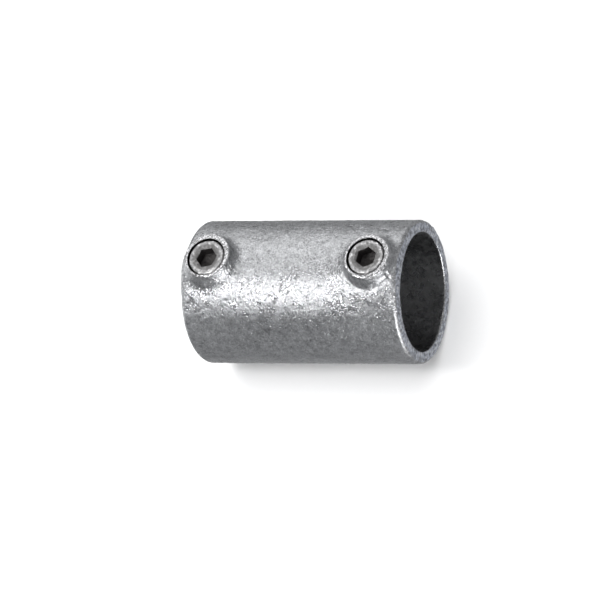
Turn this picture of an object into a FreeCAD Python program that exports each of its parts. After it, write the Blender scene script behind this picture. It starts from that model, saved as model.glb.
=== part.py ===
import FreeCAD, Part
import math
import os

# In-line sleeve coupling for scaffold and handrail tube.
#
# A cast sleeve joins two tubes of one size end to end. Each tube goes in from its own end
# until it meets a rib at mid-length, and a set screw in a raised boss locks it.
#
# Frame: origin on the bore axis at mid-length, where the two tubes meet. +X runs along the
# bore to the right-hand end, and +Z runs along the set screws, out of the bosses.

Vector = FreeCAD.Vector
X_AXIS = Vector(1, 0, 0)
Z_AXIS = Vector(0, 0, 1)
ORIGIN = Vector(0, 0, 0)

# Sleeve
SLEEVE_LENGTH = 98.0
SLEEVE_R = 30.0
BORE_R = 24.9            # 0.75 of radial play on a 48.3 mm tube
END_ROUND = 2.0          # rounding of the outer edge at each end
MOUTH_CHAMFER = 0.5

# Rib that stops both tubes
STOP_R = 23.7
STOP_WIDTH = 3.0         # on its inner face
STOP_DRAFT = 0.4         # widening of each flank down to the bore wall

# Bosses, one per tube
BOSS_X = 36.0            # either side of mid-length
BOSS_FACE_Z = 35.0
BOSS_RIM_R = 9.95
BOSS_FLARE = math.radians(14.0)
BOSS_RIM_ROUND = 0.6
BOSS_BLEND_R = 5.0       # fillet from the flared side into the sleeve
TAPPED_R = 8.38          # thread's outer radius with running clearance
TAPPED_CHAMFER = 0.2

# Set screws: 3/8 inch parallel pipe thread, 19 turns to the inch, hexagon socket, cup point
THREAD_PITCH = 25.4 / 19
THREAD_CREST_R = 8.30
THREAD_ROOT_R = 7.50
THREAD_FLAT = 0.22       # width of each crest and each root
SCREW_LENGTH = 9.5
SCREW_FACE_Z = 34.55     # 0.45 below the boss face
FACE_R = 7.1             # flat of the outer face, inside its chamfer
POINT_R = 6.0            # outer radius of the cup's ring
POINT_TAPER = 1.7        # axial length of the tapered lead at the point
CUP_R = 5.2
CUP_FLOOR_R = 1.6
CUP_DEPTH = 2.0
SOCKET_ACROSS_FLATS = 8.0
SOCKET_DEPTH = 5.0
SOCKET_LEAD_R = 5.1      # countersink at the socket's mouth
SOCKET_LEAD_DEPTH = 0.5
SOCKET_TURN = {"left": 10.0, "right": 25.0}   # degrees, where each screw came to rest


def turned(profile, axis):
    """Solid made by turning a closed outline of (along the axis, radius) points."""
    if axis == X_AXIS:
        points = [Vector(along, 0, radius) for along, radius in profile]
    else:
        points = [Vector(radius, 0, along) for along, radius in profile]
    outline = Part.makePolygon(points + points[:1])
    return Part.Face(outline).revolve(ORIGIN, axis, 360)


def boss_blank(x):
    """Flared round boss, from inside the sleeve's wall to the boss face."""
    height = BOSS_FACE_Z - BORE_R / 2
    root_r = BOSS_RIM_R + height * math.tan(BOSS_FLARE)
    return Part.makeCone(root_r, BOSS_RIM_R, height, Vector(x, 0, BOSS_FACE_Z - height), Z_AXIS)


def lies_on_sleeve(edge):
    """True for an edge that runs along the sleeve's outer face away from its ends."""
    samples = [edge.valueAt(p) for p in (edge.FirstParameter, edge.LastParameter)]
    samples.append(edge.valueAt((edge.FirstParameter + edge.LastParameter) / 2))
    on_face = all(abs(math.hypot(p.y, p.z) - SLEEVE_R) < 0.01 for p in samples)
    return on_face and all(p.z > 0 for p in samples) and edge.BoundBox.YLength > 1


def outer_casting():
    """Sleeve and bosses in one piece, still solid inside, with every outer edge rounded."""
    spare = 2 * BOSS_BLEND_R + END_ROUND
    blank_length = SLEEVE_LENGTH + 2 * spare
    start = Vector(-blank_length / 2, 0, 0)
    blank = Part.makeCylinder(SLEEVE_R, blank_length, start, X_AXIS)
    for side in (-1, 1):
        blank = blank.fuse(boss_blank(side * BOSS_X))
    blank = blank.removeSplitter()
    seams = [edge for edge in blank.Edges if lies_on_sleeve(edge)]
    blank = blank.makeFillet(BOSS_BLEND_R, seams)

    # The blends run out past the ends, so the ends are cut square after them.
    reach = 2 * BOSS_FACE_Z
    corner = Vector(-SLEEVE_LENGTH / 2, -reach / 2, -reach / 2)
    blank = blank.common(Part.makeBox(SLEEVE_LENGTH, reach, reach, corner))
    ends = [edge for edge in blank.Edges
            if edge.BoundBox.XLength < 0.001 and abs(abs(edge.CenterOfMass.x) - SLEEVE_LENGTH / 2) < 0.001]
    blank = blank.makeFillet(END_ROUND, ends)

    rims = [edge for edge in blank.Edges
            if edge.BoundBox.ZLength < 0.001 and abs(edge.CenterOfMass.z - BOSS_FACE_Z) < 0.001]
    return blank.makeFillet(BOSS_RIM_ROUND, rims)


def bore_core():
    """The space inside the sleeve: both tube sockets, the stop's neck and the chamfered mouths."""
    end = SLEEVE_LENGTH / 2
    neck = STOP_WIDTH / 2
    mouth_r = BORE_R + MOUTH_CHAMFER
    half = [(neck, STOP_R), (neck + STOP_DRAFT, BORE_R), (end - MOUTH_CHAMFER, BORE_R),
            (end, mouth_r), (end + 1, mouth_r)]
    mirrored = [(-x, r) for x, r in reversed(half)]
    closing = [(end + 1, 0), (-end - 1, 0)]
    return turned(mirrored + half + closing, X_AXIS)


def tapped_hole(x):
    """Round hole from the bore out through one boss, with a broken edge at its face."""
    mouth_r = TAPPED_R + TAPPED_CHAMFER
    profile = [(0, 0), (0, TAPPED_R), (BOSS_FACE_Z - TAPPED_CHAMFER, TAPPED_R),
               (BOSS_FACE_Z, mouth_r), (BOSS_FACE_Z + 1, mouth_r), (BOSS_FACE_Z + 1, 0)]
    hole = turned(profile, Z_AXIS)
    hole.translate(Vector(x, 0, 0))
    return hole


def coupler_body():
    body = outer_casting().cut(bore_core())
    for side in (-1, 1):
        body = body.cut(tapped_hole(side * BOSS_X))
    return body


def thread_outline(low, high):
    """Crests and roots of the thread between two heights, as (height, radius) points."""
    flank = THREAD_PITCH / 2 - THREAD_FLAT
    points = [(low, THREAD_CREST_R)]
    height = low + THREAD_FLAT
    while height + THREAD_PITCH <= high:
        points.append((height, THREAD_CREST_R))
        points.append((height + flank, THREAD_ROOT_R))
        points.append((height + flank + THREAD_FLAT, THREAD_ROOT_R))
        points.append((height + 2 * flank + THREAD_FLAT, THREAD_CREST_R))
        height += THREAD_PITCH
    points.append((high, THREAD_CREST_R))
    return points


def hexagon(across_flats, turn):
    """Hexagonal prism's end face, centred on the Z axis with one corner at the angle turn."""
    corner_r = across_flats / math.sqrt(3)
    angles = [math.radians(turn + 60 * step) for step in range(6)]
    points = [Vector(corner_r * math.cos(a), corner_r * math.sin(a), 0) for a in angles]
    return Part.Face(Part.makePolygon(points + points[:1]))


def set_screw(x, turn):
    """Set screw with its outer face at SCREW_FACE_Z and its cup point towards the tube."""
    tip_z = SCREW_FACE_Z - SCREW_LENGTH
    face_chamfer = THREAD_CREST_R - FACE_R
    threads = thread_outline(tip_z + POINT_TAPER, SCREW_FACE_Z - face_chamfer)
    profile = [(tip_z + CUP_DEPTH, 0), (tip_z + CUP_DEPTH, CUP_FLOOR_R), (tip_z, CUP_R), (tip_z, POINT_R)]
    profile += threads + [(SCREW_FACE_Z, FACE_R), (SCREW_FACE_Z, 0)]
    screw = turned(profile, Z_AXIS)

    socket = hexagon(SOCKET_ACROSS_FLATS, turn)
    socket.translate(Vector(0, 0, SCREW_FACE_Z - SOCKET_DEPTH))
    screw = screw.cut(socket.extrude(Vector(0, 0, SOCKET_DEPTH + 1)))
    lead_floor = Vector(0, 0, SCREW_FACE_Z - SOCKET_LEAD_DEPTH)
    lead_floor_r = SOCKET_ACROSS_FLATS / 2
    screw = screw.cut(Part.makeCone(lead_floor_r, SOCKET_LEAD_R, SOCKET_LEAD_DEPTH, lead_floor, Z_AXIS))
    screw.translate(Vector(x, 0, 0))
    return screw


def save(shape, node):
    solids = shape.Solids
    if len(solids) != 1 or not shape.isValid():
        raise RuntimeError(f"{node} is not one valid solid")
    solids[0].exportStep(f"parts/{node}.step")
    print(f"{node}: {solids[0].Volume / 1000:.2f} cm3")


os.makedirs("parts", exist_ok=True)
save(coupler_body(), "coupler_body")
save(set_screw(-BOSS_X, SOCKET_TURN["left"]), "set_screw_left")
save(set_screw(BOSS_X, SOCKET_TURN["right"]), "set_screw_right")
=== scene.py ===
import math

import bmesh
import bpy
from bpy.props import FloatProperty, FloatVectorProperty, IntProperty, PointerProperty
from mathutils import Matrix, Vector


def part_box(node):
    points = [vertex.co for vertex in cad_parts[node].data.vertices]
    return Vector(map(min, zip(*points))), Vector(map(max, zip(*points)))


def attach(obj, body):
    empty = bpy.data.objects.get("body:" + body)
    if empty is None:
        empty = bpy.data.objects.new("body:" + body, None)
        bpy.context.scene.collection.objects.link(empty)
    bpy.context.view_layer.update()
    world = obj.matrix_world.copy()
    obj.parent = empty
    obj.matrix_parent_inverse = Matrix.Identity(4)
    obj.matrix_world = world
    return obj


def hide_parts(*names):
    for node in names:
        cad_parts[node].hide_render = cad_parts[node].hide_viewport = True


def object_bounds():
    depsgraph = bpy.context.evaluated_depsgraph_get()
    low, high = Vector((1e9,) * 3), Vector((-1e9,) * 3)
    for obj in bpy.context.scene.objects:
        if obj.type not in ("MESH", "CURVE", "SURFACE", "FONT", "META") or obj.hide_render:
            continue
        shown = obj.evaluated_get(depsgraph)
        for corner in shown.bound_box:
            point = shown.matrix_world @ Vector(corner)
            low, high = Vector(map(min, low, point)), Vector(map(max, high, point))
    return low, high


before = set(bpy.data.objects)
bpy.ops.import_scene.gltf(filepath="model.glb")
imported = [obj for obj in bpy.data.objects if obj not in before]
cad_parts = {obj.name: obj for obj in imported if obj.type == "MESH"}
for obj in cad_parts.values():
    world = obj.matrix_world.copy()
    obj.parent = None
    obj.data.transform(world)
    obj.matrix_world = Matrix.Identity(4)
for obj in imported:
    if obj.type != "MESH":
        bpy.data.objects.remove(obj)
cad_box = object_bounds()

bl_info = {
    "name": "Galvanised Tube Coupler",
    "version": (1, 0, 0),
    "blender": (4, 5, 0),
    "location": "3D View > Sidebar > Coupler",
    "description": "Builds a galvanised in-line tube coupler with its two set screws",
    "category": "Add Mesh",
}

MM = 0.001
CASTING = "coupler_body"
LEFT_SCREW = "set_screw_left"
RIGHT_SCREW = "set_screw_right"

casting_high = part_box(CASTING)[1]
screw_low, screw_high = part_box(RIGHT_SCREW)
HALF_LENGTH = casting_high.x
SLEEVE_R = casting_high.y
BOSS_FACE_Z = casting_high.z
SCREW_X = (screw_low.x + screw_high.x) / 2
SCREW_FACE_Z = screw_high.z
SCREW_LENGTH = screw_high.z - screw_low.z
CREST_R = (screw_high.x - screw_low.x) / 2
BORE_R = 24.9 * MM
PLUG_R = 8.9 * MM            # covers the tapped holes while the skin is worked
HOLE_LOW_Z = 18 * MM         # inside the bore, below each tapped hole


# ------------------------------------------------------------------ node trees

class Wiring:
    """Adds nodes to one tree and feeds them numbers, vectors or other nodes' outputs."""

    def __init__(self, tree):
        self.tree = tree

    def feed(self, socket, value):
        if isinstance(value, bpy.types.NodeSocket):
            self.tree.links.new(value, socket)
        else:
            socket.default_value = value

    def node(self, kind, feeds=None, **settings):
        made = self.tree.nodes.new(kind)
        for name, value in settings.items():
            setattr(made, name, value)
        for name, value in (feeds or {}).items():
            self.feed(made.inputs[name], value)
        return made

    def math(self, operation, *values):
        made = self.node("ShaderNodeMath", operation=operation)
        for socket, value in zip(made.inputs, values):
            self.feed(socket, value)
        return made.outputs[0]

    def add(self, *values):
        total = values[0]
        for value in values[1:]:
            total = self.math("ADD", total, value)
        return total

    def times(self, *values):
        product = values[0]
        for value in values[1:]:
            product = self.math("MULTIPLY", product, value)
        return product

    def minus(self, first, second):
        return self.math("SUBTRACT", first, second)

    def add_vectors(self, first, second):
        return self.node("ShaderNodeVectorMath", {0: first, 1: second}, operation="ADD").outputs["Vector"]

    def scaled(self, vector, factor):
        feeds = {"Vector": vector, "Scale": factor}
        return self.node("ShaderNodeVectorMath", feeds, operation="SCALE").outputs["Vector"]

    def length(self, vector):
        return self.node("ShaderNodeVectorMath", {0: vector}, operation="LENGTH").outputs["Value"]

    def split(self, vector):
        return self.node("ShaderNodeSeparateXYZ", {"Vector": vector}).outputs

    def joined(self, x, y, z):
        return self.node("ShaderNodeCombineXYZ", {"X": x, "Y": y, "Z": z}).outputs[0]

    def fade(self, value, low, high, start=0.0, end=1.0):
        """Goes smoothly from start to end while value goes from low to high."""
        feeds = {"Value": value, "From Min": low, "From Max": high, "To Min": start, "To Max": end}
        return self.node("ShaderNodeMapRange", feeds, interpolation_type="SMOOTHSTEP").outputs["Result"]

    def band(self, value, low, high, edge):
        """1 between low and high, falling to 0 over an edge's width outside them."""
        rise = self.fade(value, self.minus(low, edge), low)
        fall = self.fade(value, high, self.add(high, edge), 1.0, 0.0)
        return self.times(rise, fall)

    def noise(self, vector, size, seed=0.0, detail=2.0, roughness=0.5, distortion=0.0):
        """Noise of 0 to 1 about 0.5, with lumps of about that size in metres."""
        feeds = {"Vector": vector, "W": seed, "Scale": 1.0 / size, "Detail": detail,
                 "Roughness": roughness, "Distortion": distortion}
        return self.node("ShaderNodeTexNoise", feeds, noise_dimensions="4D").outputs[0]

    def swing(self, vector, size, seed=0.0, detail=2.0):
        """Noise that swings about 0, from about -1 to 1."""
        return self.centred(self.noise(vector, size, seed, detail), 3.0)

    def centred(self, noise, strength):
        """Noise of 0 to 1, moved to swing about 0 and scaled."""
        return self.times(self.minus(noise, 0.5), strength)

    def blend(self, factor, first, second, way="MIX"):
        made = self.node("ShaderNodeMix", data_type="RGBA", blend_type=way)
        colours = [socket for socket in made.inputs if socket.type == "RGBA"]
        self.feed(made.inputs[0], factor)
        self.feed(colours[0], first)
        self.feed(colours[1], second)
        return next(socket for socket in made.outputs if socket.type == "RGBA")


def geometry_tree(name, inputs):
    """A Geometry Nodes tree with named inputs, and its wiring, given values and result."""
    tree = bpy.data.node_groups.new(name, "GeometryNodeTree")
    tree.interface.new_socket("Geometry", in_out="INPUT", socket_type="NodeSocketGeometry")
    tree.interface.new_socket("Geometry", in_out="OUTPUT", socket_type="NodeSocketGeometry")
    for label, kind in inputs.items():
        tree.interface.new_socket(label, in_out="INPUT", socket_type="NodeSocket" + kind)
    w = Wiring(tree)
    return tree, w, w.node("NodeGroupInput").outputs, w.node("NodeGroupOutput").inputs["Geometry"]


def close_tree(w, geometry, material, result):
    """Ends a tree in real geometry that carries its material."""
    real = w.node("GeometryNodeRealizeInstances", {"Geometry": geometry}).outputs[0]
    w.feed(result, w.node("GeometryNodeSetMaterial", {"Geometry": real, "Material": material}).outputs[0])


def run_tree(obj, tree, values):
    """Puts a tree on an object, with its inputs set by their identifiers."""
    modifier = obj.modifiers.new(tree.name, "NODES")
    modifier.node_group = tree
    for socket in tree.interface.items_tree:
        if socket.in_out == "INPUT" and socket.name in values:
            modifier[socket.identifier] = values[socket.name]


def moved(w, geometry, x=0.0, y=0.0, z=0.0, turn=0.0):
    feeds = {"Geometry": geometry, "Translation": w.joined(x, y, z), "Rotation": w.joined(0.0, 0.0, turn)}
    return w.node("GeometryNodeTransform", feeds).outputs[0]


def round_bar(w, radius, low, high, sides=96, top_radius=None):
    """Upright round bar or cone from one height to another."""
    feeds = {"Vertices": sides, "Depth": w.minus(high, low)}
    if top_radius is None:
        made = w.node("GeometryNodeMeshCylinder", {**feeds, "Radius": radius}).outputs["Mesh"]
        return moved(w, made, z=w.times(w.add(low, high), 0.5))
    feeds.update({"Radius Bottom": radius, "Radius Top": top_radius})
    made = w.node("GeometryNodeMeshCone", feeds).outputs["Mesh"]
    return moved(w, made, z=low)


def cut_away(w, geometry, *cutters):
    made = w.node("GeometryNodeMeshBoolean", {"Mesh 1": geometry}, operation="DIFFERENCE", solver="MANIFOLD")
    for cutter in cutters:
        w.feed(made.inputs["Mesh 2"], cutter)
    return made.outputs["Mesh"]


def joined_to(w, *parts):
    made = w.node("GeometryNodeMeshBoolean", operation="UNION", solver="MANIFOLD")
    for part in parts:
        w.feed(made.inputs["Mesh 2"], part)
    return made.outputs["Mesh"]


def thread_ridge(w, radius, pitch, turns, start_z, mouth_width, root_width, mouth_x, root_x):
    """Right-hand helical bar of trapezoid section, with its mouth and root so far outside radius."""
    feeds = {"Resolution": 64, "Rotations": turns, "Start Radius": radius, "End Radius": radius,
             "Height": w.times(turns, pitch), "Reverse": True}
    spiral = w.node("GeometryNodeCurveSpiral", feeds).outputs[0]
    path = w.node("GeometryNodeSetCurveNormal", {"Curve": spiral}, mode="Z_UP").outputs[0]
    half_mouth, half_root = w.times(mouth_width, 0.5), w.times(root_width, 0.5)
    corners = {
        "Point 1": w.joined(mouth_x, w.times(half_mouth, -1.0), 0.0),
        "Point 2": w.joined(mouth_x, half_mouth, 0.0),
        "Point 3": w.joined(root_x, half_root, 0.0),
        "Point 4": w.joined(root_x, w.times(half_root, -1.0), 0.0),
    }
    section = w.node("GeometryNodeCurvePrimitiveQuadrilateral", corners, mode="POINTS").outputs[0]
    feeds = {"Curve": path, "Profile Curve": section, "Fill Caps": True}
    return moved(w, w.node("GeometryNodeCurveToMesh", feeds).outputs[0], z=start_z)


# ------------------------------------------------------------------ objects and materials

def new_object(name, mesh):
    obj = bpy.data.objects.new(name, mesh)
    bpy.context.scene.collection.objects.link(obj)
    return obj


def made_real(obj, name, sharp_angle):
    """Turns an object and its modifiers into one plain mesh object of that name."""
    graph = bpy.context.evaluated_depsgraph_get()
    mesh = bpy.data.meshes.new_from_object(
        obj.evaluated_get(graph), preserve_all_data_layers=True, depsgraph=graph)
    mesh.name = name
    bpy.data.objects.remove(obj)
    check = bmesh.new()
    check.from_mesh(mesh)
    closed = all(edge.is_manifold for edge in check.edges)
    volume = check.calc_volume(signed=True)
    check.free()
    if not mesh.polygons or not closed or volume <= 0:
        faces = len(mesh.polygons)
        raise RuntimeError(f"{name} came out with {faces} faces, closed {closed}, volume {volume}")
    mesh.polygons.foreach_set("use_smooth", [True] * len(mesh.polygons))
    mesh.set_sharp_from_angle(angle=sharp_angle)
    triangles = sum(len(face.vertices) - 2 for face in mesh.polygons)
    print(f"{name}: {triangles} triangles, {volume * 1e6:.2f} cm3")
    return new_object(name, mesh)


def lathed(name, outline, sides):
    """Closed mesh turned about Z from (radius, height) points that start and end on the axis."""
    mesh = bpy.data.meshes.new(name)
    made = bmesh.new()
    first = made.verts.new((0, 0, outline[0][1]))
    last = made.verts.new((0, 0, outline[-1][1]))
    rings = []
    for radius, height in outline[1:-1]:
        angles = [2 * math.pi * step / sides for step in range(sides)]
        rings.append([made.verts.new((radius * math.cos(a), radius * math.sin(a), height)) for a in angles])
    for step in range(sides):
        after = (step + 1) % sides
        made.faces.new((first, rings[0][after], rings[0][step]))
        for low, high in zip(rings, rings[1:]):
            made.faces.new((low[step], low[after], high[after], high[step]))
        made.faces.new((last, rings[-1][step], rings[-1][after]))
    bmesh.ops.recalc_face_normals(made, faces=made.faces)
    made.to_mesh(mesh)
    made.free()
    return mesh


def new_material(name):
    """A node material with its wiring, its shader and Object coordinates."""
    material = bpy.data.materials.new(name)
    material.use_nodes = True
    tree = material.node_tree
    tree.nodes.clear()
    w = Wiring(tree)
    shader = w.node("ShaderNodeBsdfPrincipled")
    output = w.node("ShaderNodeOutputMaterial")
    tree.links.new(shader.outputs[0], output.inputs[0])
    return material, w, shader, w.node("ShaderNodeTexCoord").outputs["Object"]


def bump(w, height, depth, under=None):
    feeds = {"Height": height, "Distance": depth, "Strength": 1.0}
    if under is not None:
        feeds["Normal"] = under
    return w.node("ShaderNodeBump", feeds).outputs[0]


def grey(w, value):
    return w.node("ShaderNodeCombineColor", {"Red": value, "Green": value, "Blue": value}).outputs[0]


def from_screw_axis(w, place):
    """Distance from the nearer screw's axis."""
    x, y = w.split(place)[:2]
    along = w.minus(w.math("ABSOLUTE", x), SCREW_X)
    return w.length(w.joined(along, y, 0.0))


def zinc_material(colours):
    """Hot-dip zinc over a rough casting: faint spangle, dull patches, pits, rubbed edges, painted shade in
    the pits, the tapped holes and on the underside, painted highlight on the grain, a painted reflection and
    painted glints on the end faces.
    """
    material, w, shader, place = new_material("galvanised zinc")
    x, y, z = w.split(place)
    from_axis = from_screw_axis(w, place)
    relief = w.node("ShaderNodeAttribute", attribute_name="zinc_relief").outputs["Fac"]

    patches = w.noise(place, 9 * MM, 3.1, 3.0)
    cloudy = w.noise(place, 3.2 * MM, 8.4, 3.0)
    grain = w.noise(place, 0.70 * MM, 1.7, 1.0, 0.5, 0.4)
    speck = w.noise(place, 0.46 * MM, 9.3, 0.5)
    fine = w.noise(place, 0.32 * MM, 5.2, 2.0, 0.6)
    spangle = w.node("ShaderNodeTexVoronoi", {"Vector": place, "Scale": 1 / (4.5 * MM), "Randomness": 1.0})
    crystal = w.split(spangle.outputs["Color"])[0]

    # Where the zinc is rubbed, where it lies on an end face under a painted cool reflection and painted
    # glints, and where painted shade darkens a tapped hole
    reach = w.math("ABSOLUTE", x)
    worn_rim = w.times(w.fade(z, BOSS_FACE_Z - 0.75 * MM, BOSS_FACE_Z - 0.1 * MM),
                       w.fade(from_axis, 10.9 * MM, 12 * MM, 1.0, 0.0),
                       w.fade(cloudy, 0.3, 0.5, 0.55, 1.0))
    worn_end = w.times(w.fade(reach, HALF_LENGTH - 1.5 * MM, HALF_LENGTH - 0.4 * MM),
                       w.fade(patches, 0.35, 0.6, 0.15, 0.6))
    end_face = w.fade(reach, HALF_LENGTH - 0.5 * MM, HALF_LENGTH - 0.1 * MM)
    hole = w.times(w.fade(from_axis, PLUG_R, PLUG_R + 0.2 * MM, 1.0, 0.0),
                   w.fade(z, BOSS_FACE_Z - 0.45 * MM, BOSS_FACE_Z - 0.85 * MM),
                   w.fade(z, HOLE_LOW_Z, HOLE_LOW_Z + 2 * MM))

    # The grain calms down towards the underside, where the zinc drained smooth
    calm = w.fade(w.add(z, w.centred(patches, 22 * MM)), -13 * MM, 13 * MM, 0.35, 1.0)
    # The grain's tone follows its bumps: partly the zinc's own tone, partly painted shade in the pits and
    # painted highlight on the peaks
    grain_tone_and_shading = w.times(w.add(w.centred(grain, 0.9), w.centred(speck, 1.5)), calm)
    # The stored relief adds painted shade in the dimples and pits and painted light on the raised skin
    tone = w.add(w.centred(patches, 0.26), w.centred(cloudy, 0.24),
                 w.centred(crystal, 0.08), grain_tone_and_shading, w.times(relief, 0.3), 1.0)
    zinc = w.blend(1.0, (*colours.zinc, 1), grey(w, tone), "MULTIPLY")
    # Painted shade: the zinc is darkened towards the underside
    zinc = w.blend(w.times(w.fade(z, -4 * MM, -26 * MM), 0.55), zinc, (*colours.underside_shade, 1))
    scratched = w.fade(w.add(w.times(grain, 0.5), w.times(speck, 0.5)), 0.36, 0.62, 0.35, 1.25)
    rubbed = w.blend(1.0, (*colours.worn_zinc, 1), grey(w, scratched), "MULTIPLY")
    zinc = w.blend(w.math("MAXIMUM", worn_rim, worn_end), zinc, rubbed)
    # On the end faces the zinc gets a cool tint that is a painted reflection, broken by painted glints
    end_glint_noise = w.noise(w.joined(x, w.times(y, 0.7), z), 0.9 * MM, 6.1, 2.0)
    painted_end_glints = grey(w, w.fade(end_glint_noise, 0.36, 0.64, 0.40, 1.80))
    end_zinc_and_reflection = w.blend(1.0, (*colours.end_zinc_and_reflection, 1), painted_end_glints, "MULTIPLY")
    zinc = w.blend(w.times(end_face, w.fade(cloudy, 0.3, 0.6, 0.5, 0.95)), zinc, end_zinc_and_reflection)
    # Painted shade darkens the tapped holes' walls with the thread colour
    zinc = w.blend(hole, zinc, (*colours.thread_shade, 1))
    w.feed(shader.inputs["Base Color"], zinc)
    shader.inputs["Metallic"].default_value = 1.0

    rough = w.add(0.28, w.centred(patches, 0.22), w.centred(cloudy, 0.26),
                  w.centred(fine, 0.12), w.times(worn_rim, -0.08))
    w.feed(shader.inputs["Roughness"], rough)
    normal = bump(w, w.times(w.add(grain, w.times(speck, 0.35)), calm), 0.31 * MM)
    normal = bump(w, fine, 0.03 * MM, normal)
    w.feed(shader.inputs["Normal"], normal)
    return material


def steel_material(colours):
    """Plated screw steel: turned rings on the face, painted glints, painted shade in the socket and round the
    countersink, a painted dark gap ring on the chamfer, grime in the thread's roots.
    """
    material, w, shader, place = new_material("plated screw steel")
    z = w.split(place)[2]
    from_axis = from_screw_axis(w, place)
    cloudy = w.noise(place, 2.4 * MM, 2.2, 3.0)
    fine = w.noise(place, 0.35 * MM, 6.6, 2.0, 0.6)
    dents = w.noise(place, 1.15 * MM, 3.3, 1.5)
    turned = w.joined(w.times(from_axis, 6.0), 0.0, w.times(z, 0.6))
    rings = w.node("ShaderNodeTexNoise", {"Vector": turned, "W": 1.3, "Scale": 1 / (1.1 * MM), "Detail": 2.0},
                   noise_dimensions="4D").outputs[0]
    below_face = w.minus(SCREW_FACE_Z, z)
    in_socket = w.times(w.fade(from_axis, 4.75 * MM, 5.0 * MM, 1.0, 0.0),
                        w.fade(below_face, 0.35 * MM, 0.9 * MM))
    root = w.fade(from_axis, CREST_R - 0.15 * MM, CREST_R - 0.6 * MM)
    root = w.times(root, w.fade(below_face, 1.1 * MM, 1.4 * MM), w.fade(from_axis, 6.6 * MM, 7.0 * MM))
    smudge = w.fade(cloudy, 0.42, 0.7, 0.0, 0.5)
    # A painted ring of shade on the chamfer, where the screw meets its hole
    edge = w.times(w.fade(from_axis, 7.4 * MM, 7.7 * MM), w.fade(below_face, 0.1 * MM, 0.40 * MM))
    ragged = w.add(from_axis, w.centred(cloudy, 1.6 * MM))
    lead = w.fade(ragged, 5.7 * MM, 6.3 * MM, 1.0, 0.0)

    bright_ring = w.times(w.fade(ragged, 6.3 * MM, 6.9 * MM), 0.25)
    # Where the dents' noise runs high, the tone adds painted glints
    tone = w.add(0.95, w.centred(rings, 0.5), w.centred(cloudy, 0.9), w.centred(dents, 2.0),
                 w.times(w.fade(dents, 0.54, 0.68), 0.9), bright_ring)
    steel = w.blend(1.0, (*colours.steel, 1), grey(w, tone), "MULTIPLY")
    steel = w.blend(smudge, steel, (*colours.steel_shade, 1))
    # Painted shade on the countersink ring round the socket
    steel = w.blend(w.times(lead, 0.6), steel, (*colours.steel_shade, 1))
    # The thread colour marks grime in the thread's roots and paints shade in the gap ring on the chamfer
    grime_and_gap_shade = w.math("MAXIMUM", w.times(root, 0.75), w.times(edge, 0.8))
    steel = w.blend(grime_and_gap_shade, steel, (*colours.thread_shade, 1))
    # Painted shade, over dark oxide, inside the hexagon sockets
    steel = w.blend(w.times(in_socket, 0.92), steel, (*colours.socket_shade, 1))
    w.feed(shader.inputs["Base Color"], steel)
    shader.inputs["Metallic"].default_value = 1.0
    dull = w.math("MAXIMUM", w.math("MAXIMUM", root, in_socket), lead)
    w.feed(shader.inputs["Roughness"], w.add(0.32, w.centred(cloudy, 0.25), w.times(dull, 0.3)))
    normal = bump(w, rings, 0.025 * MM)
    normal = bump(w, w.add(w.times(dents, 1.6), cloudy, w.times(fine, 0.25)), 0.34 * MM, normal)
    w.feed(shader.inputs["Normal"], normal)
    return material


def floor_material(colours):
    """Pale matt board."""
    material, w, shader, place = new_material("pale board")
    soft = w.noise(place, 120 * MM, 4.0, 3.0)
    fibre = w.noise(place, 1.5 * MM, 2.0, 3.0)
    tone = w.add(0.985, w.centred(soft, 0.03), w.centred(fibre, 0.02))
    w.feed(shader.inputs["Base Color"], w.blend(1.0, (*colours.floor, 1), grey(w, tone), "MULTIPLY"))
    shader.inputs["Roughness"].default_value = 0.75
    w.feed(shader.inputs["Normal"], bump(w, fibre, 0.02 * MM))
    return material


# ------------------------------------------------------------------ casting

def plug_tree():
    """Fills the tapped holes, so that the skin can be worked over before they are cut."""
    inputs = {"Screw Spacing": "Float", "Plug Radius": "Float", "Bore Radius": "Float",
              "Face Height": "Float", "Zinc": "Material"}
    tree, w, given, result = geometry_tree("Plugged casting", inputs)
    # Each plug starts inside the bore, and a short bar then clears the bore again.
    plug_low_z, bar_length = 20 * MM, 22 * MM
    plug_high_z = w.minus(given["Face Height"], 0.01 * MM)
    plugs, bores = [], []
    for side in (-1.0, 1.0):
        x = w.times(given["Screw Spacing"], side)
        plugs.append(moved(w, round_bar(w, given["Plug Radius"], plug_low_z, plug_high_z), x=x))
        feeds = {"Vertices": 160, "Radius": given["Bore Radius"], "Depth": bar_length}
        bar = w.node("GeometryNodeMeshCylinder", feeds).outputs["Mesh"]
        feeds = {"Geometry": bar, "Translation": w.joined(x, 0.0, 0.0), "Rotation": (0.0, math.pi / 2, 0.0)}
        bores.append(w.node("GeometryNodeTransform", feeds).outputs[0])
    filled = joined_to(w, given["Geometry"], *plugs)
    close_tree(w, cut_away(w, filled, *bores), given["Zinc"], result)
    return tree


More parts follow.
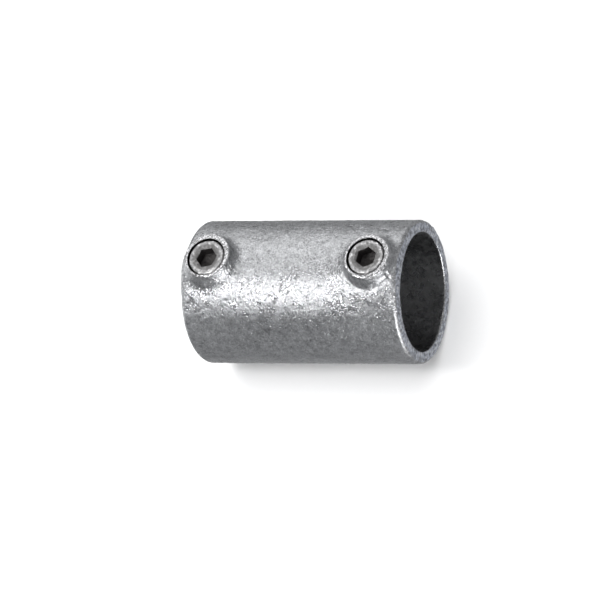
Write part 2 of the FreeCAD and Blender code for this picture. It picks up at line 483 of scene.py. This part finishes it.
def skin_tree():
    """Works the casting's skin: lumps, dimples, the mould's seam, runs and a bead of zinc, crooked rims."""
    inputs = {
        "Screw Spacing": "Float", "Sleeve Radius": "Float", "Half Length": "Float", "Face Height": "Float",
        "Unevenness": "Float", "Dimple Depth": "Float", "Seam Height": "Float", "Bead Height": "Float",
        "Run Height": "Float", "Foot Swell": "Float", "Left Rim Shift": "Vector",
        "Right Rim Shift": "Vector", "Seed": "Float", "Zinc": "Material",
    }
    tree, w, given, result = geometry_tree("Casting skin", inputs)
    place = w.node("GeometryNodeInputPosition").outputs[0]
    normal = w.node("GeometryNodeInputNormal").outputs[0]
    seed, end, face = given["Seed"], given["Half Length"], given["Face Height"]
    x, y, z = w.split(place)
    from_bore = w.length(w.joined(0.0, y, z))
    outside = w.fade(from_bore, 26 * MM, 28.5 * MM)
    side = w.math("SIGN", x)
    right = w.math("GREATER_THAN", x, 0.0)
    along = w.minus(x, w.times(side, given["Screw Spacing"]))
    from_axis = w.length(w.joined(along, y, 0.0))
    divisor = w.math("MAXIMUM", from_axis, 1 * MM)

    lumps = w.times(w.swing(place, 17 * MM, seed, 1.0), given["Unevenness"])
    dimples = w.add(w.times(w.swing(place, 2.6 * MM, w.add(seed, 3.0), 0.0), 0.55),
                    w.times(w.swing(place, 1.3 * MM, w.add(seed, 7.0), 0.0), 0.45))
    pits = w.times(w.fade(w.noise(place, 3.0 * MM, w.add(seed, 11.0), 0.0), 0.70, 0.82), -1.2)
    relief = w.add(dimples, pits)

    # Broken seam where the two halves of the mould met
    wander = w.times(w.swing(place, 7 * MM, w.add(seed, 5.0)), 0.35 * MM)
    off_seam = w.math("ABSOLUTE", w.add(z, wander))
    patchy = w.noise(w.joined(x, w.times(y, 0.1), 0.0), 5 * MM, w.add(seed, 2.0), 1.5)
    broken = w.fade(patchy, 0.42, 0.62, 0.15, 1.0)
    rough_stretch = w.times(w.band(x, -3 * MM, 14 * MM, 3 * MM), w.fade(y, 0.0, -10 * MM))
    seam = w.times(w.fade(off_seam, 0.1 * MM, 1.0 * MM, 1.0, 0.0), broken, outside, w.add(0.7, rough_stretch))
    seam = w.times(seam, w.fade(w.math("ABSOLUTE", y), 24 * MM, 28 * MM), given["Seam Height"])
    crumbs = w.times(rough_stretch, w.fade(off_seam, 1.0 * MM, 3.5 * MM, 1.0, 0.0), outside,
                     w.swing(place, 1.8 * MM, w.add(seed, 9.0)), given["Seam Height"], 0.6)

    # Zinc gathers in a low bead round the right-hand end, and the left-hand end is rounder
    reach = w.math("ABSOLUTE", x)
    bead = w.times(w.fade(reach, w.minus(end, 5 * MM), w.minus(end, 1.8 * MM)),
                   w.fade(reach, w.minus(end, 1.2 * MM), end, 1.0, 0.0), outside, right,
                   w.add(0.8, w.times(w.swing(place, 11 * MM, w.add(seed, 4.0)), 0.7)), given["Bead Height"])
    sleeve = given["Sleeve Radius"]
    worn = w.times(w.fade(reach, w.minus(end, 2.5 * MM), w.minus(end, 0.6 * MM)),
                   w.fade(from_bore, w.minus(sleeve, 2.6 * MM), w.minus(sleeve, 0.5 * MM)),
                   w.minus(1.0, right), -0.35 * MM)

    # Short runs down the bosses' flanks: which boss, the angle round it, the half width, the reach from
    # the boss's axis and the height. A negative height is a groove.
    zinc_runs = ((-1, -92, 0.55, 12.4, 1.0), (-1, -17, 0.45, 12.6, 0.6), (-1, -24, 0.40, 12.2, 0.7),
                 (-1, -31, 0.45, 12.8, 0.6), (1, -37, 0.45, 13.2, -1.0), (1, -30, 0.5, 13.0, 0.8),
                 (1, -62, 0.7, 13.4, 0.5), (1, 140, 0.8, 13.0, 0.5), (-1, 65, 0.8, 13.0, 0.5))
    flank = w.times(w.fade(from_axis, 10.3 * MM, 10.9 * MM), w.fade(z, face, w.minus(face, 2 * MM)))
    runs = 0.0
    for which, turn, width, far, tall in zinc_runs:
        angle = math.radians(turn)
        outwards = w.add(w.times(along, math.cos(angle)), w.times(y, math.sin(angle)))
        sideways = w.math("ABSOLUTE", w.add(w.times(along, -math.sin(angle)), w.times(y, math.cos(angle))))
        run = w.times(w.fade(sideways, 0.0, width * MM, 1.0, 0.0),
                      w.fade(outwards, far * MM, (far + 1) * MM, 1.0, 0.0),
                      w.math("GREATER_THAN", outwards, 0.0),
                      w.math("GREATER_THAN", w.times(side, which), 0.0), tall)
        runs = w.add(runs, run)
    runs = w.times(runs, flank, given["Run Height"])

    # The bosses' feet swell a little more on their lower sides
    lower = w.fade(w.math("DIVIDE", y, divisor), 0.4, -0.7)
    swelling = w.add(0.1, w.times(lower, w.add(0.45, w.times(right, 0.45))))
    foot = w.times(w.fade(from_axis, 11.4 * MM, 13.2 * MM), w.fade(from_axis, 13.4 * MM, 20 * MM, 1.0, 0.0),
                   outside, w.fade(z, 5 * MM, 12 * MM), swelling, given["Foot Swell"])

    skin = w.add(w.times(relief, given["Dimple Depth"]), lumps, seam, crumbs, bead, worn, runs, foot)
    inner = w.fade(from_bore, 25.2 * MM, 26.2 * MM, 0.45, 1.0)
    offset = w.scaled(normal, w.times(skin, inner))

    # The bosses were moulded a little off the tapped holes, so each rim is thicker on one side
    rim = w.times(w.fade(z, w.minus(face, 5 * MM), w.minus(face, 1 * MM)),
                  w.fade(from_axis, 8.6 * MM, 9.5 * MM))
    ragged = w.times(w.swing(place, 3.6 * MM, w.add(seed, 6.0)), rim, 0.12 * MM)
    outward = w.scaled(w.joined(along, y, 0.0), w.math("DIVIDE", ragged, divisor))
    shift = w.node("ShaderNodeMix", data_type="VECTOR")
    vectors = [socket for socket in shift.inputs if socket.type == "VECTOR" and socket.name in "AB"]
    w.feed(shift.inputs[0], right)
    w.feed(vectors[0], given["Left Rim Shift"])
    w.feed(vectors[1], given["Right Rim Shift"])
    shifted = w.scaled(next(socket for socket in shift.outputs if socket.type == "VECTOR"), rim)
    offset = w.add_vectors(w.add_vectors(offset, outward), shifted)

    feeds = {"Geometry": given["Geometry"], "Name": "zinc_relief", "Value": relief}
    kept = w.node("GeometryNodeStoreNamedAttribute", feeds, data_type="FLOAT", domain="POINT").outputs[0]
    worked = w.node("GeometryNodeSetPosition", {"Geometry": kept, "Offset": offset}).outputs[0]
    close_tree(w, worked, given["Zinc"], result)
    return tree


def tapped_hole_tree():
    """Cuts both tapped holes, with their threads and broken edges, through the bosses."""
    inputs = {"Screw Spacing": "Float", "Hole Radius": "Float", "Thread Pitch": "Float",
              "Thread Depth": "Float", "Face Height": "Float", "Zinc": "Material"}
    tree, w, given, result = geometry_tree("Tapped holes", inputs)
    names = ("Hole Radius", "Thread Pitch", "Thread Depth", "Face Height")
    radius, pitch, depth, face = (given[name] for name in names)
    bar = round_bar(w, radius, HOLE_LOW_Z, w.add(face, 2 * MM), 128)
    lead = round_bar(w, w.minus(radius, 0.1 * MM), w.minus(face, 0.45 * MM), w.add(face, 1 * MM), 128,
                     w.add(radius, 0.35 * MM))
    # The groove starts in the bore and ends above the face, and its mouth overlaps the hole a little.
    groove_start, groove_length, overlap = 16 * MM, 19 * MM, 0.06 * MM
    turns = w.math("DIVIDE", groove_length, pitch)
    groove = thread_ridge(w, radius, pitch, turns, w.minus(face, groove_start),
                          w.times(pitch, 0.86), w.times(pitch, 0.2), -overlap, depth)
    cutter = joined_to(w, bar, lead, groove)
    sides = [moved(w, cutter, x=w.times(given["Screw Spacing"], side)) for side in (-1.0, 1.0)]
    close_tree(w, cut_away(w, given["Geometry"], *sides), given["Zinc"], result)
    return tree


class CastingSizes(bpy.types.PropertyGroup):
    """Sizes of the casting's skin."""
    mesh_size: FloatProperty(
        name="Mesh Size", description="Spacing of the skin's points before thinning",
        default=0.45 * MM, min=0.3 * MM, unit="LENGTH")
    faces_kept: FloatProperty(
        name="Faces Kept", description="Share of the skin's faces kept after thinning",
        default=0.38, min=0.1, max=1.0, subtype="FACTOR")
    unevenness: FloatProperty(
        name="Unevenness", description="Height of the broad lumps",
        default=0.09 * MM, unit="LENGTH")
    dimple_depth: FloatProperty(
        name="Dimple Depth", description="Height of the fine dimples",
        default=0.13 * MM, unit="LENGTH")
    seam_height: FloatProperty(
        name="Seam Height", description="Height of the mould's seam",
        default=0.22 * MM, unit="LENGTH")
    bead_height: FloatProperty(
        name="Bead Height", description="Height of the zinc bead round the right-hand end",
        default=0.10 * MM, unit="LENGTH")
    run_height: FloatProperty(
        name="Run Height", description="Height of the zinc runs on the bosses",
        default=0.32 * MM, unit="LENGTH")
    foot_swell: FloatProperty(
        name="Foot Swell", description="How far the bosses' feet swell",
        default=0.80 * MM, unit="LENGTH")
    left_rim_shift: FloatVectorProperty(
        name="Left Rim Shift", description="How far the left boss stands off its hole",
        default=(0.34 * MM, 0.61 * MM, 0), unit="LENGTH")
    right_rim_shift: FloatVectorProperty(
        name="Right Rim Shift", description="How far the right boss stands off its hole",
        default=(0.55 * MM, 0.05 * MM, 0), unit="LENGTH")
    hole_radius: FloatProperty(
        name="Hole Radius", description="Inner radius of the tapped holes",
        default=8.40 * MM, unit="LENGTH")
    hole_thread: FloatProperty(
        name="Hole Thread Depth", description="Depth of the holes' thread",
        default=0.42 * MM, unit="LENGTH")
    seed: IntProperty(
        name="Seed", description="Picks another skin",
        default=4)


class COUPLER_OT_casting(bpy.types.Operator):
    """Make the galvanised casting with its bosses and tapped holes"""
    bl_idname = "coupler.casting"
    bl_label = "Galvanised Casting"

    def execute(self, context):
        sizes, screws = context.scene.coupler_casting, context.scene.coupler_screws
        zinc = zinc_material(context.scene.coupler_colours)
        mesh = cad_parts[CASTING].data.copy()
        merged = bmesh.new()
        merged.from_mesh(mesh)
        bmesh.ops.remove_doubles(merged, verts=merged.verts, dist=1e-6)
        merged.to_mesh(mesh)
        merged.free()
        mesh.materials.clear()
        mesh.materials.append(zinc)
        casting = new_object("casting_work", mesh)

        common = {"Screw Spacing": SCREW_X, "Face Height": BOSS_FACE_Z, "Zinc": zinc}
        run_tree(casting, plug_tree(), {**common, "Plug Radius": PLUG_R, "Bore Radius": BORE_R})
        remesh = casting.modifiers.new("Even skin", "REMESH")
        remesh.mode = "VOXEL"
        remesh.voxel_size = sizes.mesh_size
        remesh.use_smooth_shade = True
        run_tree(casting, skin_tree(), {
            **common, "Sleeve Radius": SLEEVE_R, "Half Length": HALF_LENGTH,
            "Unevenness": sizes.unevenness, "Dimple Depth": sizes.dimple_depth,
            "Seam Height": sizes.seam_height, "Bead Height": sizes.bead_height,
            "Run Height": sizes.run_height, "Foot Swell": sizes.foot_swell,
            "Left Rim Shift": sizes.left_rim_shift[:], "Right Rim Shift": sizes.right_rim_shift[:],
            "Seed": float(sizes.seed),
        })
        thinned = casting.modifiers.new("Thinned", "DECIMATE")
        thinned.ratio = sizes.faces_kept
        run_tree(casting, tapped_hole_tree(), {
            **common, "Hole Radius": sizes.hole_radius, "Thread Pitch": screws.thread_pitch,
            "Thread Depth": sizes.hole_thread,
        })
        casting = made_real(casting, "galvanised_casting", sharp_angle=math.radians(38))
        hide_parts(CASTING)
        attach(casting, CASTING)
        return {"FINISHED"}


# ------------------------------------------------------------------ set screws

def set_screw_tree():
    """Cuts the thread and the hexagon socket into a turned blank that stands on the origin."""
    inputs = {"Length": "Float", "Crest Radius": "Float", "Root Radius": "Float", "Thread Pitch": "Float",
              "Crest Width": "Float", "Across Flats": "Float", "Socket Depth": "Float",
              "Socket Turn": "Float", "Steel": "Material"}
    tree, w, given, result = geometry_tree("Set screw", inputs)
    pitch, crest, root = given["Thread Pitch"], given["Crest Radius"], given["Root Radius"]
    turns = w.add(w.math("DIVIDE", given["Length"], pitch), 2.0)
    depth = w.minus(crest, root)
    width = given["Crest Width"]
    mouth = w.minus(pitch, width)
    overlap = 0.05 * MM
    slope = w.math("DIVIDE", w.minus(mouth, width), depth)
    mouth = w.add(mouth, w.times(slope, overlap))
    groove = thread_ridge(w, crest, pitch, turns, w.times(pitch, -1.0), mouth, width,
                          overlap, w.times(depth, -1.0))

    top = given["Length"]
    corner = w.math("DIVIDE", given["Across Flats"], math.sqrt(3))
    flat = w.times(given["Across Flats"], 0.5)
    floor = w.minus(top, given["Socket Depth"])
    hexagon = moved(w, round_bar(w, corner, floor, w.add(top, 1 * MM), 6), turn=given["Socket Turn"])
    drill = round_bar(w, 0.3 * MM, w.minus(floor, 1.2 * MM), w.add(floor, 0.02 * MM), 48, w.times(flat, 0.97))
    lead = round_bar(w, w.minus(flat, 0.05 * MM), w.minus(top, 0.55 * MM), w.add(top, 0.25 * MM), 96,
                     w.add(corner, 0.75 * MM))
    cut = cut_away(w, given["Geometry"], groove, joined_to(w, hexagon, drill, lead))
    close_tree(w, cut, given["Steel"], result)
    return tree


class ScrewSizes(bpy.types.PropertyGroup):
    """Sizes of the two set screws."""
    thread_pitch: FloatProperty(
        name="Thread Pitch", description="Travel in one turn, 19 turns to the inch",
        default=25.4 / 19 * MM, unit="LENGTH")
    root_radius: FloatProperty(
        name="Thread Root Radius", description="Radius at the thread's root",
        default=7.5 * MM, unit="LENGTH")
    crest_width: FloatProperty(
        name="Crest Width", description="Width of the flats on crests and roots",
        default=0.22 * MM, unit="LENGTH")
    across_flats: FloatProperty(
        name="Socket Across Flats", description="Size of key that fits",
        default=8 * MM, unit="LENGTH")
    socket_depth: FloatProperty(
        name="Socket Depth", description="Depth of the hexagon socket",
        default=5 * MM, unit="LENGTH")
    left_turn: FloatProperty(
        name="Left Socket Turn", description="Where the left screw stopped",
        default=math.radians(10), subtype="ANGLE")
    right_turn: FloatProperty(
        name="Right Socket Turn", description="Where the right screw stopped",
        default=math.radians(25), subtype="ANGLE")


class COUPLER_OT_set_screws(bpy.types.Operator):
    """Make both set screws, with helical threads, hexagon sockets and cup points"""
    bl_idname = "coupler.set_screws"
    bl_label = "Set Screws"

    def execute(self, context):
        sizes = context.scene.coupler_screws
        steel = steel_material(context.scene.coupler_colours)
        tree = set_screw_tree()
        top, crest = SCREW_LENGTH, CREST_R
        # From the cup's floor over its ring, up the lead and the thread, to the chamfered outer face
        outline = [(0, 2.0 * MM), (1.5 * MM, 2.0 * MM), (1.75 * MM, 1.86 * MM), (5.12 * MM, 0.06 * MM),
                   (5.3 * MM, 0), (5.9 * MM, 0), (6.08 * MM, 0.06 * MM), (crest, 1.7 * MM),
                   (crest, top - 0.90 * MM), (7.50 * MM, top - 0.14 * MM), (7.36 * MM, top - 0.04 * MM),
                   (7.15 * MM, top), (6.2 * MM, top), (0, top)]
        for side, node, name, turn in ((-1, LEFT_SCREW, "left_set_screw", sizes.left_turn),
                                       (1, RIGHT_SCREW, "right_set_screw", sizes.right_turn)):
            blank = new_object(name + "_blank", lathed(name + "_blank", outline, 128))
            blank.data.materials.append(steel)
            run_tree(blank, tree, {
                "Length": top, "Crest Radius": crest, "Root Radius": sizes.root_radius,
                "Thread Pitch": sizes.thread_pitch, "Crest Width": sizes.crest_width,
                "Across Flats": sizes.across_flats, "Socket Depth": sizes.socket_depth,
                "Socket Turn": turn, "Steel": steel,
            })
            screw = made_real(blank, name, sharp_angle=math.radians(28))
            for vertex in screw.data.vertices:
                vertex.co += Vector((side * SCREW_X, 0, SCREW_FACE_Z - SCREW_LENGTH))
            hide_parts(node)
            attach(screw, node)
        return {"FINISHED"}


# ------------------------------------------------------------------ colours and stage

class Colours(bpy.types.PropertyGroup):
    """Colours of the finishes."""
    zinc: FloatVectorProperty(
        name="Zinc", description="Aged zinc",
        default=(0.43, 0.435, 0.445), subtype="COLOR", min=0, max=1)
    # Painted shade for the underside, darker than the zinc above
    underside_shade: FloatVectorProperty(
        name="Underside Shade", description="Duller zinc on the underside",
        default=(0.36, 0.355, 0.35), subtype="COLOR", min=0, max=1)
    worn_zinc: FloatVectorProperty(
        name="Worn Zinc", description="Brighter zinc on rims and ends",
        default=(0.64, 0.64, 0.65), subtype="COLOR", min=0, max=1)
    # Zinc tinted cool by a painted reflection, for the end faces
    end_zinc_and_reflection: FloatVectorProperty(
        name="End Zinc And Reflection", description="Cooler zinc on the end faces",
        default=(0.60, 0.63, 0.71), subtype="COLOR", min=0, max=1)
    steel: FloatVectorProperty(
        name="Screw Steel", description="Plated steel",
        default=(0.37, 0.368, 0.37), subtype="COLOR", min=0, max=1)
    # Duller patches of the plating, also used as painted shade round the countersink
    steel_shade: FloatVectorProperty(
        name="Tarnish And Countersink Shade", description="Duller patches of the plating",
        default=(0.20, 0.195, 0.19), subtype="COLOR", min=0, max=1)
    socket_shade: FloatVectorProperty(
        name="Socket", description="Dark inside of the hexagon sockets",
        default=(0.085, 0.08, 0.078), subtype="COLOR", min=0, max=1)
    # Grime in the threads, also used as painted shade in the tapped holes and the gap round each screw
    thread_shade: FloatVectorProperty(
        name="Thread Dirt And Shade", description="Dirt in the threads",
        default=(0.12, 0.115, 0.11), subtype="COLOR", min=0, max=1)
    floor: FloatVectorProperty(
        name="Floor", description="Pale board under the coupler",
        default=(0.93, 0.93, 0.93), subtype="COLOR", min=0, max=1)


class StageSizes(bpy.types.PropertyGroup):
    """Lights and camera."""
    key_light: FloatProperty(
        name="Key Light", description="Power of the near softbox",
        default=0.155, unit="POWER")
    side_light: FloatProperty(
        name="Side Light", description="Power of the low light at the right",
        default=0.80, unit="POWER")
    low_light: FloatProperty(
        name="Low Card", description="Power of the card low at the front right",
        default=0.85, unit="POWER")
    left_light: FloatProperty(
        name="Left Light", description="Power of the dim card at the left",
        default=0.5, unit="POWER")
    overhead_light: FloatProperty(
        name="Overhead Light", description="Power of the broad light overhead",
        default=9.0, unit="POWER")
    floor_light: FloatProperty(
        name="Floor Light", description="Power of the broad light that whitens the floor",
        default=60.0, unit="POWER")
    room_light: FloatProperty(
        name="Room Light", description="Brightness of the surroundings",
        default=0.40)
    turn: FloatProperty(
        name="Camera Turn", description="Angle round the coupler from its front",
        default=math.radians(23.535), subtype="ANGLE")
    lift: FloatProperty(
        name="Camera Lift", description="Tilt of the view in the plane across the bore",
        default=math.radians(24.771), subtype="ANGLE")
    distance: FloatProperty(
        name="Camera Distance", description="From the camera to the coupler's middle",
        default=2.168, unit="LENGTH")
    lens: FloatProperty(
        name="Lens", description="Focal length",
        default=310.26, unit="CAMERA")


def softbox(name, towards, distance, width, height, power, target=(0, 0, 0)):
    """Rectangular light that faces the coupler, out of the camera's sight."""
    light = bpy.data.lights.new(name, "AREA")
    light.shape = "RECTANGLE"
    light.size, light.size_y = width, height
    light.energy = power
    obj = new_object(name, light)
    obj.location = Vector(target) + Vector(towards).normalized() * distance
    obj.rotation_euler = Vector(towards).to_track_quat("Z", "Y").to_euler()
    obj.visible_camera = False
    return obj


class COUPLER_OT_stage(bpy.types.Operator):
    """Make the floor, the lights and the camera"""
    bl_idname = "coupler.stage"
    bl_label = "Stage"

    def execute(self, context):
        scene, sizes = context.scene, context.scene.coupler_stage
        mesh = bpy.data.meshes.new("floor")
        made = bmesh.new()
        bmesh.ops.create_grid(made, x_segments=4, y_segments=4, size=6.0)
        bmesh.ops.translate(made, verts=made.verts, vec=(0, 0, cad_box[0].z - 0.1 * MM))
        made.to_mesh(mesh)
        made.free()
        floor = new_object("floor", mesh)
        floor.data.materials.append(floor_material(scene.coupler_colours))
        floor.visible_glossy = floor.visible_shadow = False

        key_target = (0.002, -0.020, 0.022)
        softbox("key softbox", (-0.40, -0.353, 0.846), 0.19, 0.06, 0.035, sizes.key_light, key_target)
        softbox("side softbox", (0.62, -0.74, 0.05), 0.50, 0.07, 0.62, sizes.side_light)
        softbox("low card", (0.50, -0.85, 0.12), 0.50, 0.16, 0.20, sizes.low_light)
        softbox("left card", (-0.93, 0.05, -0.05), 0.50, 0.35, 0.50, sizes.left_light)
        softbox("overhead softbox", (-0.40, 0.66, 0.74), 1.3, 1.3, 2.1, sizes.overhead_light)
        softbox("floor light", (0.0, 0.0, 1.0), 2.6, 3.0, 3.0, sizes.floor_light).visible_glossy = False
        world = bpy.data.worlds.new("pale room")
        world.use_nodes = True
        background = world.node_tree.nodes["Background"]
        background.inputs["Color"].default_value = (0.97, 0.98, 1.0, 1)
        background.inputs["Strength"].default_value = sizes.room_light
        scene.world = world
        scene.view_settings.view_transform = "Standard"

        # The camera looks along -away, with its picture's right along the bore's foreshortened axis,
        # at a point a little left of and below the origin.
        view_left, view_down = 6.43 * MM, 3.38 * MM
        turn, lift = sizes.turn, sizes.lift
        away = Vector((math.sin(turn), -math.cos(turn) * math.sin(lift), math.cos(turn) * math.cos(lift)))
        right = (Vector((1, 0, 0)) - away * away.x).normalized()
        up = away.cross(right)
        data = bpy.data.cameras.new("camera")
        data.lens = sizes.lens
        data.sensor_width = 36
        data.clip_end = 20
        camera = new_object("camera", data)
        camera.location = away * sizes.distance - right * view_left - up * view_down
        camera.rotation_euler = away.to_track_quat("Z", "Y").to_euler()
        level = camera.rotation_euler.to_matrix()
        level.col[0], level.col[1], level.col[2] = right, up, away
        camera.rotation_euler = level.to_euler()
        scene.camera = camera
        return {"FINISHED"}


class COUPLER_PT_panel(bpy.types.Panel):
    """Lists the coupler's operators"""
    bl_idname = "COUPLER_PT_panel"
    bl_label = "Tube Coupler"
    bl_space_type = "VIEW_3D"
    bl_region_type = "UI"
    bl_category = "Coupler"

    def draw(self, context):
        for operator in OPERATORS:
            self.layout.operator(operator.bl_idname)
        for name in GROUPS:
            group = getattr(context.scene, name)
            box = self.layout.box()
            for prop in group.bl_rna.properties:
                if prop.identifier not in {"rna_type", "name"}:
                    box.prop(group, prop.identifier)


OPERATORS = (COUPLER_OT_casting, COUPLER_OT_set_screws, COUPLER_OT_stage)
GROUPS = {"coupler_casting": CastingSizes, "coupler_screws": ScrewSizes,
          "coupler_colours": Colours, "coupler_stage": StageSizes}


def register():
    for group in GROUPS.values():
        bpy.utils.register_class(group)
    for name, group in GROUPS.items():
        setattr(bpy.types.Scene, name, PointerProperty(type=group))
    for operator in OPERATORS:
        bpy.utils.register_class(operator)
    bpy.utils.register_class(COUPLER_PT_panel)


def unregister():
    bpy.utils.unregister_class(COUPLER_PT_panel)
    for operator in reversed(OPERATORS):
        bpy.utils.unregister_class(operator)
    for name, group in GROUPS.items():
        delattr(bpy.types.Scene, name)
        bpy.utils.unregister_class(group)


def main():
    register()
    bpy.ops.coupler.casting()
    bpy.ops.coupler.set_screws()
    bpy.ops.coupler.stage()


if __name__ == "__main__":
    main()
